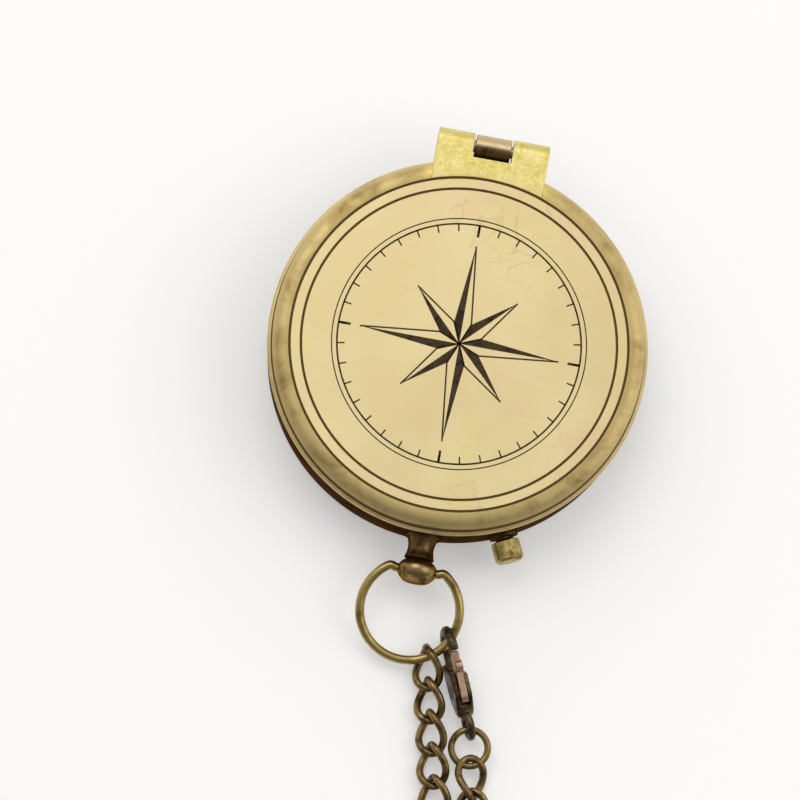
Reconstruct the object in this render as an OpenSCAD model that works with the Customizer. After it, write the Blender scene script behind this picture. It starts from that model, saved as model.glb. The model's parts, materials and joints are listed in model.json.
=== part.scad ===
// Pocket compass in brass: a round case with a hinged lid, a push button that frees the lid,
// a magnetic needle under a crystal, and a bail ring that carries a curb chain closed by a lobster clasp.
// The origin is the centre of the case's flat bottom. +Z runs up through the lid, +Y points to the hinge.

/* [Case] */
// Radius of the case wall
case_r = 24.2; // [23.6:0.1:25.6]
// Height of the case wall above the flat bottom
case_h = 9; // [8.6:0.1:11]
// Thickness of the case wall
case_wall = 2.2; // [2:0.1:2.6]
// Thickness of the case floor
floor_t = 1.8; // [1.2:0.1:2]
// Radius of the rounded bottom edge
base_edge_r = 1.5; // [0.6:0.1:2]
// Height of the raised lip that the lid closes over
lip_h = 0.7; // [0.4:0.1:0.9]
// Thickness of the raised lip
lip_t = 0.8; // [0.6:0.1:1]

/* [Lid] */
// How far the bead round the lid's bottom edge stands out beyond the case wall
lid_over = 0.8; // [0.6:0.1:1.4]
// Height of the closed lid above its bottom edge
lid_h = 3.3; // [3:0.1:4.2]
// Thickness of the lid's flat plate
lid_plate_t = 1.2; // [0.8:0.1:1.4]
// Gap between the closed lid and the case wall
lid_gap = 0.2; // [0.1:0.05:0.3]
// Radius of the rounded shoulder between the flat top and the bead
shoulder_r = 2.1; // [1.6:0.1:2.2]
// Radius of the small bead
bead_r = 0.4; // [0.3:0.05:0.5]
// Distance from the bead's edge in to the outer engraved line
line_outer_in = 2.8; // [2.7:0.1:3.4]
// Distance from the bead's edge in to the inner engraved line
line_inner_in = 4.3; // [3.9:0.1:6]
// Width of an engraved line
line_w = 0.3; // [0.2:0.05:0.5]
// Depth of an engraved line
line_depth = 0.15; // [0.1:0.05:0.3]

/* [Hinge] */
// Width of the hinge leaf along the hinge pin
leaf_w = 14.8; // [12:0.1:18]
// Width of the notch between the two ears of the leaf
notch_w = 5.2; // [4:0.1:7]
// Radius of the rounded ears
ear_r = 1.7; // [1.5:0.05:1.8]
// Distance from the case wall out to the hinge pin
hinge_out = 2.6; // [2.5:0.1:3.6]
// Diameter of the hinge pin
hinge_pin_d = 1.6; // [1.2:0.1:1.8]
// Side gap between the case knuckle and each ear
knuckle_gap = 0.25; // [0.1:0.05:0.4]
// Height on the case wall at which the knuckle's arm starts
arm_foot_z = 5.2; // [4:0.1:6]
// How far the arm's foot stands off the wall
arm_foot_t = 0.5; // [0.3:0.1:0.8]

/* [Dial and needle] */
// Thickness of the dial plate
dial_t = 0.5; // [0.4:0.1:0.8]
// Height of the underside of the crystal above the flat bottom
crystal_z = 6.2; // [6:0.1:6.4]
// Width of the ledge round the crystal, from the case's inner wall
crystal_ledge = 2.1; // [2:0.1:3]
// Thickness of the crystal
crystal_t = 1.4; // [1:0.1:1.5]
// Thickness of the rim that holds the crystal down
crystal_rim_t = 0.8; // [0.5:0.1:0.9]
// Width of the sloping ring round the dial, from the case's inner wall
dial_ring_w = 3.1; // [3:0.1:5]
// Gap between the needle's points and the sloping ring
needle_gap = 1.9; // [0.9:0.1:4]
// Width of the needle at its middle
needle_w = 4; // [3:0.1:5]
// Thickness of the needle
needle_t = 0.4; // [0.3:0.05:0.5]
// Diameter of the pivot pin
pivot_d = 1; // [0.8:0.1:1.4]
// Height of the pivot pin's point above the flat bottom
pivot_tip_z = 4.6; // [4.5:0.1:4.7]

/* [Stem and bail ring] */
// Height of the stem and of the button's bush above the flat bottom
stem_z = 4.7; // [4.4:0.1:5]
// Diameter of the stem's flange on the case wall
stem_flange_d = 4.6; // [4:0.1:5]
// Thickness of the stem's flange
stem_flange_t = 0.8; // [0.5:0.1:1]
// Diameter of the stem's waist
stem_waist_d = 2.6; // [2.2:0.1:3]
// Diameter of the stem's flattened ball
ball_d = 5; // [4.8:0.1:5.4]
// Thickness of the stem's flattened ball
ball_t = 3.6; // [3:0.1:4]
// Distance from the case wall out to the middle of the ball
ball_out = 5.1; // [4.6:0.1:5.8]
// Diameter of the bail ring's wire
bail_wire_d = 1.2; // [1:0.1:1.4]
// Radius of the bail ring to the middle of its wire
bail_r = 6.8; // [6.5:0.1:7.5]
// Distance from the ball's cross hole to the middle of the bail ring
bail_reach = 5; // [4.6:0.1:5.4]
// Radius of the bend where the ring turns into the ball
bail_bend_r = 1.5; // [1:0.1:1.8]
// Angle by which the resting ring droops below level
bail_droop = 14; // [12:1:15]

/* [Release button] */
// Angle round the case from the stem to the button
button_angle = 24.6; // [20:0.2:40]
// Diameter of the button's cap and of the bush flange
button_d = 3.8; // [3.4:0.1:4.4]
// Length of the button's cap
button_len = 2.8; // [2.2:0.1:3.4]
// Travel of the button
button_travel = 0.45; // [0.3:0.05:0.45]
// Diameter of the button's shaft
button_shaft_d = 1.6; // [1.2:0.1:1.8]
// Thickness of the bush flange
bush_flange_t = 1; // [0.6:0.1:1.2]
// Diameter of the bush in the case wall
bush_d = 3; // [2.6:0.1:3.2]
// Width of the tongue that hangs from the lid
catch_w = 4; // [3:0.1:5]
// Thickness of the tongue
catch_t = 0.8; // [0.6:0.1:0.8]

/* [Clasp] */
// Radius of the clasp's eye
eye_r = 1.65; // [1.6:0.05:1.8]
// Diameter of the bar that forms the clasp's hook
hook_bar_d = 1.2; // [1.1:0.05:1.25]
// Thickness of the clasp's body
clasp_t = 2.2; // [2:0.1:2.6]
// Distance from the middle of the eye to the middle of the tail loop
clasp_len = 10.4; // [10:0.1:11]
// Radius of the hole in the tail loop
tail_hole_r = 1.15; // [1.1:0.05:1.3]
// Diameter of the tail loop's bar
tail_bar_d = 0.9; // [0.8:0.05:1]
// Diameter of the clasp's rivet
rivet_d = 0.8; // [0.6:0.05:0.9]
// Thickness of the clasp's lever
lever_t = 0.9; // [0.7:0.05:1]
// Angle by which the clasp is turned up on its edge
clasp_roll = 84; // [82:1:86]
// Radius of the jump ring to the middle of its wire
jump_r = 2.4; // [2.3:0.05:2.6]
// Diameter of the jump ring's wire
jump_wire_d = 0.9; // [0.8:0.05:1]

/* [Chain] */
// Number of links
link_count = 36; // [36:1:37]
// Outer length of a link
link_len = 6.5; // [6.4:0.05:6.8]
// Outer width of a link
link_w = 4.7; // [4.6:0.05:5]
// Diameter of the link's wire
link_wire_d = 1; // [0.9:0.05:1.05]
// Distance from one link to the next
link_pitch = 4.3; // [4.2:0.05:4.35]
// Twist of a link, to each side, from its middle to its end
link_twist = 46; // [45:1:50]
// Distance between the two straight strands
strand_gap = 4.9; // [4.7:0.1:5.2]
// Direction of the straight strands, from +X
strand_heading = -77; // [-79:1:-75]
// Length in links by which the strand on the ring is longer than the one on the clasp
lead_links = 3.48; // [3.46:0.01:3.5]
// Turn from link to link round the chain's far end
end_turn = 15; // [14:1:16]
// Turn from link to link where the strands part
flare_turn = 12; // [11:1:13]
// Place of the first link on the bail ring, as an angle from the ring's far point
first_link_angle = 31; // [30:1:32]
// Roll of the first link on the bail ring
first_link_roll = -35; // [-36:1:-34]
// Roll of the last link in the jump ring
last_link_roll = 32; // [30:1:34]
// Links over which either roll dies out
roll_out_links = 4; // [4:1:5]

/* [Hidden] */
$fn = 96;
// Overrun of every cut
over = 0.1 * link_wire_d;
// Running clearance of a shaft or pin, on the radius
fit = 0.05;
// Gap between wires that hang in each other
slack = 0.1;
// Gap that clears moving sheet parts
clear = 0.4;

// Case and lid levels
case_in_r = case_r - case_wall;
lid_r = case_r + lid_over;
line_outer_r = lid_r - line_outer_in;
line_inner_r = lid_r - line_inner_in;
hinge_y = case_r + hinge_out;
ball_y = case_r + ball_out;
crystal_r = case_in_r - crystal_ledge;
dial_view_r = case_in_r - dial_ring_w;
needle_len = 2 * (dial_view_r - needle_gap);
lip_r = case_in_r + lip_t;
lid_z = case_h + lid_gap;
top_z = lid_z + lid_h;
hinge_z = top_z - ear_r - lid_gap / 2;
lid_in_r = lip_r + clear;
seam_in = 2.6;
seam_r = lid_r - seam_in;
groove_r = bead_r / 2;

// Pieces inside the case
loose = 0.1;
dial_z = floor_t;
dial_top = dial_z + dial_t;
fit_out_r = case_in_r - loose;
crystal_top = crystal_z + crystal_t;
view_slope = 0.7;
hub_r = 1.2;
hub_cap_r = 1.7;
hub_z = 4;
hub_h = 1.4;
hub_cap_t = 0.4;
hub_dome_r = 0.9;
needle_z = 4.3;
boss_r = 2;
cup_r = 0.8;
pin_cone_h = pivot_d;

// Push button, measured outwards from the case axis
bush_in = case_in_r + loose;
bush_out = case_r + bush_flange_t;
cap_in = bush_out + button_travel + fit;
cap_wall = 0.35;
cap_cavity = 0.6 * button_len;
cap_bevel = 0.35;
collar_t = 0.3;
collar_r = button_shaft_d / 2 + 0.35 * link_wire_d;
collar_in = bush_in - fit - collar_t;
catch_out = collar_in - button_travel - loose;
catch_low = stem_z - collar_r;
catch_foot = 2.2;
catch_foot_t = 0.6;
slot_w = catch_w + 2 * clear;
slot_in = crystal_r + lid_gap;
spring_wire_d = 0.3;
spring_r = (button_shaft_d / 2 + button_d / 2 - cap_wall) / 2;
spring_turns = 4;

// Stem and bail ring
shank_d = 2.4;
shank_depth = 1.4;
ball_round_r = ball_t / 2;
bail_pin_gap = 0.3;
bend_x = sqrt(pow(bail_r - bail_bend_r, 2) - pow(bail_reach - bail_bend_r, 2));
// Angle above the ring's own level at which the ring meets its bend
bend_rise = atan2(bail_reach - bail_bend_r, bend_x);
// A point on the middle of the ring's wire at an angle from its far point
function on_bail(angle) = let (q = bail_reach + bail_r * cos(angle))
    [bail_r * sin(angle), -ball_y - q * cos(bail_droop), stem_z - q * sin(bail_droop)];

// Curb link, a closed wire whose eye is twisted along its length
link_a = (link_len - link_wire_d) / 2;
link_b = (link_w - link_wire_d) / 2;
link_rings = 20;
link_sides = 6;
function link_at(u) = let (t = link_twist * cos(u))
    [link_a * cos(u), link_b * sin(u) * cos(t), link_b * sin(u) * sin(t)];
function unit(v) = v / norm(v);
function rolled_z(p, roll) = p.y * sin(roll) + p.z * cos(roll);
function link_floor(roll) = link_wire_d / 2 + slack / 2
    - min([for (i = [0 : link_rings - 1]) rolled_z(link_at(360 * i / link_rings), roll)]);
function link_roll(i) = first_link_roll * max(0, 1 - i / roll_out_links)
    + last_link_roll * max(0, 1 - (link_count - 1 - i) / roll_out_links);

// Route of the chain, alike on both sides of its far end
mid_link = (link_count - 1 + lead_links) / 2;
end_unit = 180 / PI / end_turn;
flare_unit = 180 / PI / flare_turn;
belly_angle = 180 - asin((strand_gap / 2 / link_pitch + flare_unit) / (end_unit + flare_unit));
belly_links = belly_angle / end_turn;
// Heading away from the far end's own heading, a number of links from it
function bow(n) = n < belly_links ? n * end_turn
    : max(90, belly_angle - (n - belly_links) * flare_turn);
function heading(i) = strand_heading + 90 + sign(i - mid_link) * bow(abs(i - mid_link));
function along(angle) = [cos(angle), sin(angle), 0];
function step(i) = link_pitch / 2 * (along(heading(i - 1)) + along(heading(i)));
function level(p) = [p.x, p.y, 0];
first_end = level(on_bail(first_link_angle));
first_place = first_end + (link_a - bail_wire_d - slack) * along(strand_heading)
    - clear / 2 * along(strand_heading + 90);
function places(i, p) = i == link_count ? [] : concat([p], places(i + 1, p + step(i + 1)));
link_places = places(0, first_place);
function link_place(i) = link_places[i] + [0, 0, link_floor(link_roll(i))];

// Jump ring and clasp, which close the chain from its last link back to the bail ring
back = along(heading(link_count - 1));
last_end = link_place(link_count - 1) + link_a * back;
jump_far = last_end - ((link_wire_d + jump_wire_d) / 2 + slack) * back;
tail_r = tail_hole_r + tail_bar_d / 2;
tail_z = (tail_r + tail_bar_d / 2) * sin(clasp_roll) + slack;
jump_rise = tail_z - jump_far.z;
jump_pitch = asin(jump_rise / 2 / jump_r);
jump_near = level(jump_far) + 2 * jump_r * cos(jump_pitch) * back + [0, 0, tail_z];
tail_place = jump_near + (tail_hole_r - jump_wire_d / 2 - slack) * back;
hook_r = eye_r + hook_bar_d / 2;
// The wire lies off the middle of the eye, towards the hook's top and towards the clasp's back
wire_x = eye_r - bail_wire_d / 2 - 4 * slack;
wire_y = 0.85 * wire_x;
clasp_reach = clasp_len + wire_x;
// Place on the bail ring at which the clasp reaches its tail, found by halving
function hook_angle(low, high, n) = let (mid = (low + high) / 2)
    n == 0 ? mid
    : norm(on_bail(mid) - tail_place) > clasp_reach ? hook_angle(low, mid, n - 1)
    : hook_angle(mid, high, n - 1);
clasp_angle = hook_angle(first_link_angle, 90, 20);
wire_place = on_bail(clasp_angle);
clasp_dir = unit(tail_place - wire_place);
clasp_turn = [clasp_roll, -asin(clasp_dir.z), atan2(clasp_dir.y, clasp_dir.x)];

// Clasp body, lever and rivet, in the clasp's own frame: x to the tail, y to the lever
nose_x = 0.35 * eye_r;
body_x = 1.25 * hook_r;
body_end_x = clasp_len - 0.75 * tail_r;
rivet_x = 0.62 * clasp_len;
rivet_y = 0.25 * hook_r;
slot_t = lever_t + 2 * slack;
lever_r = 0.55 * hook_r;
gate_w = 0.8 * hook_bar_d;
tab_r = 0.8 * gate_w;

// Joint places, printed for the record
echo(hinge = [0, hinge_y, hinge_z]);
echo(ball = [0, -ball_y, stem_z]);
echo(first_on_ring = on_bail(first_link_angle), clasp_on_ring = wire_place, clasp_angle = clasp_angle);
echo(clasp_turn = clasp_turn, tail = tail_place, wire_off = [wire_x, wire_y], rivet = [rivet_x, rivet_y]);
echo(link_places = [for (i = [0 : link_count - 1]) link_place(i)]);
echo(headings = [for (i = [0 : link_count - 1]) heading(i)]);

function link_name(i) = str("chain_link_", i < 9 ? "0" : "", i + 1);

// A disc whose lower edge is rounded, as a half section
module rounded_section(r, h, edge) {
    square([r - edge, h]);
    translate([0, edge]) square([r, h - edge]);
    translate([r - edge, edge]) circle(edge);
}

// Turns a piece drawn up +Z so that it points out of the case wall at an angle from the stem
module from_wall(angle) {
    translate([0, 0, stem_z]) rotate([90, 0, angle]) children();
}

// A ring of flat section between two heights
module band(r_in, r_out, z_low, z_high) {
    rotate_extrude() translate([r_in, z_low]) square([r_out - r_in, z_high - z_low]);
}

// The slot in the rings inside the case through which the lid's tongue hangs
module catch_slot() {
    rotate([0, 0, button_angle]) translate([-slot_w / 2, -case_r, dial_top - over])
        cube([slot_w, case_r - slot_in, top_z]);
}

module case() {
    color("darkgoldenrod") difference() {
        union() {
            rotate_extrude() rounded_section(case_r, case_h, base_edge_r);
            cylinder(r = lip_r, h = case_h + lip_h);
        }
        translate([0, 0, floor_t]) cylinder(r = case_in_r, h = case_h + lip_h);
        from_wall(0) translate([0, 0, case_r - shank_depth]) cylinder(d = shank_d, h = case_wall);
        from_wall(button_angle) translate([0, 0, case_in_r - case_wall])
            cylinder(d = bush_d, h = 3 * case_wall);
    }
}

module case_knuckle() {
    width = notch_w - 2 * knuckle_gap;
    barrel_r = ear_r - loose;
    foot = [case_r + arm_foot_t, arm_foot_z];
    centre = [hinge_y, hinge_z];
    reach = norm(foot - centre);
    tangent = atan2(foot.y - centre.y, foot.x - centre.x) + acos(barrel_r / reach);
    arm_in = hinge_y - barrel_r;
    color("darkgoldenrod") difference() {
        rotate([90, 0, 90]) translate([0, 0, -width / 2]) linear_extrude(width) {
            translate(centre) circle(barrel_r);
            polygon([[arm_in, hinge_z], [arm_in, case_h], [case_in_r, case_h],
                [case_in_r, arm_foot_z], foot,
                centre + barrel_r * [cos(tangent), sin(tangent)], centre]);
        }
        cylinder(r = case_r, h = top_z);
        translate([-width, hinge_y, hinge_z]) rotate([0, 90, 0])
            cylinder(d = hinge_pin_d, h = 2 * width);
    }
}

module hinge_pin() {
    color("gold") translate([(loose - leaf_w) / 2, hinge_y, hinge_z]) rotate([0, 90, 0])
        cylinder(d = hinge_pin_d, h = leaf_w - loose);
}

module dial_plate() {
    color("ivory") translate([0, 0, dial_z]) difference() {
        cylinder(r = fit_out_r, h = dial_t);
        translate([0, 0, -over]) cylinder(d = pivot_d, h = dial_t + 2 * over);
    }
}

module dial_ring() {
    color("goldenrod") difference() {
        rotate_extrude() polygon([[dial_view_r, dial_top], [fit_out_r, dial_top],
            [fit_out_r, crystal_z], [dial_view_r + view_slope, crystal_z]]);
        catch_slot();
    }
}

module pivot_pin() {
    color("silver") {
        translate([0, 0, dial_z]) cylinder(d = pivot_d, h = pivot_tip_z - pin_cone_h - dial_z);
        translate([0, 0, pivot_tip_z - pin_cone_h]) cylinder(d1 = pivot_d, d2 = 0, h = pin_cone_h);
    }
}

module crystal() {
    color("lightcyan") translate([0, 0, crystal_z]) cylinder(r = crystal_r, h = crystal_t);
}

module crystal_ring() {
    rim_z = crystal_top + loose;
    inner_r = dial_view_r + view_slope / 2;
    color("goldenrod") difference() {
        union() {
            band(crystal_r + loose, fit_out_r, crystal_z, rim_z);
            rotate_extrude() polygon([[inner_r, rim_z], [fit_out_r, rim_z],
                [fit_out_r, rim_z + crystal_rim_t], [inner_r + crystal_rim_t, rim_z + crystal_rim_t]]);
        }
        catch_slot();
    }
}

module stem() {
    color("darkgoldenrod") difference() {
        from_wall(0) {
            translate([0, 0, case_r - shank_depth]) cylinder(d = shank_d, h = shank_depth);
            difference() {
                union() {
                    translate([0, 0, case_r - stem_flange_t])
                        cylinder(d = stem_flange_d, h = 2 * stem_flange_t);
                    cylinder(d = stem_waist_d, h = ball_y);
                    translate([0, 0, ball_y]) rotate_extrude() intersection() {
                        union() {
                            translate([ball_d / 2 - ball_round_r, 0]) circle(ball_round_r);
                            translate([0, -ball_t / 2]) square([ball_d / 2 - ball_round_r, ball_t]);
                        }
                        translate([0, -ball_t]) square(2 * ball_t);
                    }
                }
                translate([0, -stem_z, 0]) rotate([90, 0, 0]) translate([0, 0, -top_z])
                    cylinder(r = case_r, h = 2 * top_z);
            }
        }
        translate([-ball_d, -ball_y, stem_z]) rotate([0, 90, 0])
            cylinder(r = bail_wire_d / 2 + fit, h = 2 * ball_d);
    }
}

module button_bush() {
    color("goldenrod") from_wall(button_angle) difference() {
        union() {
            translate([0, 0, bush_in]) cylinder(d = bush_d, h = case_r - bush_in);
            difference() {
                translate([0, 0, case_in_r]) cylinder(d = button_d, h = bush_out - case_in_r);
                translate([0, -stem_z, 0]) rotate([90, 0, 0]) translate([0, 0, -top_z])
                    cylinder(r = case_r, h = 2 * top_z);
            }
        }
        cylinder(r = button_shaft_d / 2 + fit, h = 2 * case_r);
    }
}

// Corners of one ring of a wire's section, square to the wire
function wire_ring(p, dir, side, r, sides) = let (n = unit(cross(dir, cross(side, dir))), m = cross(dir, n))
    [for (k = [0 : sides - 1]) p + r * (cos(360 * k / sides) * n + sin(360 * k / sides) * m)];

// Side faces between rings of points, closed on themselves or left open
function ring_faces(rings, sides, closed) = [for (i = [0 : rings - (closed ? 1 : 2)], k = [0 : sides - 1])
    let (a = i * sides, b = ((i + 1) % rings) * sides, k2 = (k + 1) % sides)
    each [[a + k, b + k, b + k2], [a + k, b + k2, a + k2]]];

module button_spring() {
    steps = 12;
    sides = 6;
    rise = cap_in + cap_cavity - bush_out - spring_wire_d - 2 * fit;
    low = bush_out + spring_wire_d / 2 + fit;
    rings = spring_turns * steps + 1;
    function coil(n) = [spring_r * cos(360 * n / steps), spring_r * sin(360 * n / steps),
        low + rise * n / (rings - 1)];
    points = [for (n = [0 : rings - 1]) each wire_ring(coil(n), unit(coil(n + 1) - coil(n - 1)),
        [cos(360 * n / steps), sin(360 * n / steps), 0], spring_wire_d / 2, sides)];
    caps = [for (k = [1 : sides - 2]) each [[0, k, k + 1],
        [(rings - 1) * sides, (rings - 1) * sides + k + 1, (rings - 1) * sides + k]]];
    color("silver") from_wall(button_angle)
        polyhedron(points, concat(ring_faces(rings, sides, false), caps));
}

module lid_shape() {
    rotate_extrude() difference() {
        union() {
            translate([0, lid_z]) square([lid_r - bead_r, lid_h - shoulder_r]);
            translate([0, lid_z]) square([lid_r - bead_r - shoulder_r, lid_h]);
            translate([lid_r - bead_r - shoulder_r, top_z - shoulder_r]) circle(shoulder_r);
            translate([lid_r - bead_r, lid_z + bead_r]) circle(bead_r);
        }
        translate([lid_r - bead_r + groove_r / 2, lid_z + 2 * bead_r + groove_r / 2]) circle(groove_r);
        square([lid_in_r, top_z - lid_plate_t]);
        square([lid_r, lid_z]);
        for (r = [line_inner_r, line_outer_r])
            translate([r - line_w / 2, top_z - line_depth]) square([line_w, line_depth + over]);
        translate([-2 * lid_r, 0]) square([2 * lid_r, 2 * top_z]);
    }
}

// The sector of the rim that the hinge leaf takes up
module leaf_sector() {
    difference() {
        translate([-leaf_w / 2, 0, 0]) cube([leaf_w, 2 * lid_r, 2 * top_z]);
        translate([0, 0, -over]) cylinder(r = seam_r, h = 2 * top_z + 2 * over);
    }
}

module lid() {
    color("palegoldenrod") difference() {
        lid_shape();
        leaf_sector();
    }
}

module lid_leaf() {
    notch_y = hinge_y - ear_r - loose;
    color("gold") difference() {
        rotate([90, 0, 90]) translate([0, 0, -leaf_w / 2]) linear_extrude(leaf_w) {
            translate([hinge_y, hinge_z]) circle(ear_r);
            translate([0, lid_z]) square([hinge_y, hinge_z + ear_r - lid_z]);
        }
        translate([0, 0, -over]) cylinder(r = seam_r, h = 2 * top_z);
        translate([0, 0, -over]) cylinder(r = lid_in_r, h = top_z - lid_plate_t + over);
        translate([-notch_w / 2, notch_y, 0]) cube([notch_w, 2 * lid_r, 2 * top_z]);
        translate([-leaf_w, hinge_y, hinge_z]) rotate([0, 90, 0])
            cylinder(r = hinge_pin_d / 2 + fit, h = 2 * leaf_w);
    }
}

module lid_catch() {
    root_z = top_z - lid_plate_t;
    color("goldenrod") rotate([0, 0, button_angle]) {
        translate([-catch_w / 2, -catch_out, catch_low]) cube([catch_w, catch_t, root_z - catch_low]);
        translate([-catch_w / 2, -catch_out, root_z - catch_foot_t])
            cube([catch_w, catch_foot, catch_foot_t]);
    }
}

module needle_blade() {
    color("steelblue") translate([0, 0, needle_z]) difference() {
        union() {
            linear_extrude(needle_t) polygon([[0, needle_len / 2], [needle_w / 2, 0],
                [0, -needle_len / 2], [-needle_w / 2, 0]]);
            cylinder(r = boss_r, h = needle_t);
        }
        translate([0, 0, -over]) cylinder(r = hub_r, h = needle_t + 2 * over);
    }
}

module needle_cap() {
    cap_z = needle_z + needle_t;
    cup_h = pivot_tip_z + fit - hub_z;
    color("gold") difference() {
        union() {
            translate([0, 0, hub_z]) cylinder(r = hub_r, h = hub_h - hub_cap_t);
            translate([0, 0, cap_z]) cylinder(r = hub_cap_r, h = hub_cap_t);
            translate([0, 0, cap_z + hub_cap_t])
                cylinder(r1 = hub_cap_r, r2 = hub_dome_r, h = hub_z + hub_h - cap_z - hub_cap_t);
        }
        translate([0, 0, hub_z - over])
            cylinder(r1 = cup_r * (1 + over / cup_h), r2 = 0, h = cup_h + over);
    }
}

module release_button() {
    color("gold") from_wall(button_angle) {
        difference() {
            translate([0, 0, cap_in]) union() {
                cylinder(d = button_d, h = button_len - cap_bevel);
                translate([0, 0, button_len - cap_bevel])
                    cylinder(d1 = button_d, d2 = button_d - 2 * cap_bevel, h = cap_bevel);
            }
            translate([0, 0, cap_in - over])
                cylinder(r = button_d / 2 - cap_wall, h = cap_cavity + over);
        }
        translate([0, 0, collar_in]) cylinder(d = button_shaft_d, h = cap_in + cap_cavity - collar_in);
        translate([0, 0, collar_in]) cylinder(r = collar_r, h = collar_t);
    }
}

module bail_ring() {
    color("darkkhaki") translate([0, -ball_y, stem_z]) rotate([bail_droop, 0, 0]) {
        translate([0, -bail_reach, 0]) rotate([0, 0, -180 - bend_rise])
            rotate_extrude(angle = 180 + 2 * bend_rise)
                translate([bail_r, 0]) circle(d = bail_wire_d);
        for (side = [0, 1]) mirror([side, 0, 0]) {
            translate([bend_x, -bail_bend_r, 0]) rotate([0, 0, bend_rise])
                rotate_extrude(angle = 90 - bend_rise)
                    translate([bail_bend_r, 0]) circle(d = bail_wire_d);
            translate([bail_pin_gap, 0, 0]) rotate([0, 90, 0])
                cylinder(d = bail_wire_d, h = bend_x - bail_pin_gap);
        }
    }
}

// Places a piece drawn in the clasp's own frame, whose origin is the middle of the eye
module in_clasp() {
    translate(wire_place) rotate(clasp_turn) translate([wire_x, wire_y, 0]) children();
}

module hook_arc(from, to) {
    rotate([0, 0, from]) rotate_extrude(angle = to - from) translate([hook_r, 0])
        circle(d = hook_bar_d);
}

module clasp_body() {
    tail_y = -wire_y;
    color("dimgray") in_clasp() difference() {
        union() {
            hook_arc(90, 270);
            translate([0, hook_r, 0]) rotate([0, 90, 0]) cylinder(d = hook_bar_d, h = nose_x);
            translate([0, -hook_r, 0]) rotate([0, 90, 0]) cylinder(d = hook_bar_d, h = body_x);
            intersection() {
                translate([0, 0, -clasp_t / 2]) linear_extrude(clasp_t) polygon([
                    [body_x - hook_bar_d, -hook_r - hook_bar_d / 2], [body_x, -hook_r + hook_bar_d / 2],
                    [rivet_x - 2 * lever_r, rivet_y + lever_r], [rivet_x + lever_r, rivet_y + lever_r],
                    [body_end_x, tail_y + tail_bar_d], [body_end_x, tail_y - tail_bar_d],
                    [rivet_x, -hook_r - hook_bar_d / 2]]);
                translate([0, tail_y, 0]) rotate([0, 90, 0]) rotate_extrude() polygon([
                    [0, 0], [hook_r, 0], [hook_r, rivet_x], [tail_bar_d, body_end_x], [0, body_end_x]]);
            }
            translate([clasp_len, tail_y, 0]) rotate_extrude() translate([tail_r, 0])
                circle(d = tail_bar_d);
        }
        translate([body_x - hook_bar_d, rivet_y - lever_r - 4 * slack, -slot_t / 2])
            cube([rivet_x + lever_r + 2 * slack - body_x + hook_bar_d, 2 * hook_r, slot_t]);
        translate([rivet_x, rivet_y, -clasp_t]) cylinder(d = rivet_d, h = 2 * clasp_t);
        translate([clasp_len, tail_y, -clasp_t]) cylinder(r = tail_hole_r, h = 2 * clasp_t);
    }
}

module clasp_rivet() {
    color("gray") in_clasp() translate([rivet_x, rivet_y, -clasp_t / 2])
        cylinder(d = rivet_d, h = clasp_t);
}

module clasp_spring() {
    leaf_t = 0.15;
    color("silver") in_clasp() translate([rivet_x - lever_r, rivet_y - lever_r - slack - leaf_t, -lever_t / 2])
        cube([2 * lever_r, leaf_t, lever_t]);
}

module clasp_lever() {
    gate_y = hook_r;
    color("rosybrown") in_clasp() translate([0, 0, -lever_t / 2]) difference() {
        linear_extrude(lever_t) {
            translate([rivet_x, rivet_y]) circle(lever_r);
            polygon([[nose_x + 4 * slack, gate_y + gate_w / 2], [nose_x + slack, gate_y - gate_w / 2],
                [rivet_x - lever_r, rivet_y - lever_r / 2], [rivet_x, rivet_y + lever_r]]);
            translate([body_x, gate_y + tab_r / 2]) circle(tab_r);
        }
        translate([rivet_x, rivet_y, -over]) cylinder(r = rivet_d / 2 + fit, h = lever_t + 2 * over);
    }
}

module jump_ring() {
    color("darkkhaki") translate((jump_far + jump_near) / 2)
        rotate([0, -jump_pitch, atan2(back.y, back.x)])
            rotate_extrude() translate([jump_r, 0]) circle(d = jump_wire_d);
}

module chain_link(i) {
    points = [for (k = [0 : link_rings - 1]) let (u = 360 * k / link_rings)
        each wire_ring(link_at(u), unit(link_at(u + 1) - link_at(u - 1)), [0, sin(link_twist * cos(u)),
            -cos(link_twist * cos(u))], link_wire_d / 2, link_sides)];
    color("darkkhaki") translate(link_place(i)) rotate([link_roll(i), 0, heading(i)])
        polyhedron(points, ring_faces(link_rings, link_sides, true));
}

case();
case_knuckle();
hinge_pin();
dial_plate();
dial_ring();
pivot_pin();
crystal();
crystal_ring();
stem();
button_bush();
button_spring();
lid();
lid_leaf();
lid_catch();
needle_blade();
needle_cap();
release_button();
bail_ring();
clasp_body();
clasp_rivet();
clasp_spring();
clasp_lever();
jump_ring();
for (i = [0 : link_count - 1]) chain_link(i);
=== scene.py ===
"""Looks of the brass pocket compass: patinated case, brushed lid, curb chain and lobster clasp."""

import json
import math

import bmesh
import bpy
import numpy as np
from mathutils import Matrix, Quaternion, Vector


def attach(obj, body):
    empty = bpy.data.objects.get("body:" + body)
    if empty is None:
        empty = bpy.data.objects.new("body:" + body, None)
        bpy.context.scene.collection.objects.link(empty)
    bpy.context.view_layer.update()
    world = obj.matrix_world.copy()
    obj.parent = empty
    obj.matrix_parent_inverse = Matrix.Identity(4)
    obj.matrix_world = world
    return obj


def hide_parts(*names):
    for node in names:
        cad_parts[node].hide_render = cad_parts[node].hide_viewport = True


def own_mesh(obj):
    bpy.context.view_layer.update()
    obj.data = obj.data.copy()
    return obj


MM = 0.001

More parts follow.
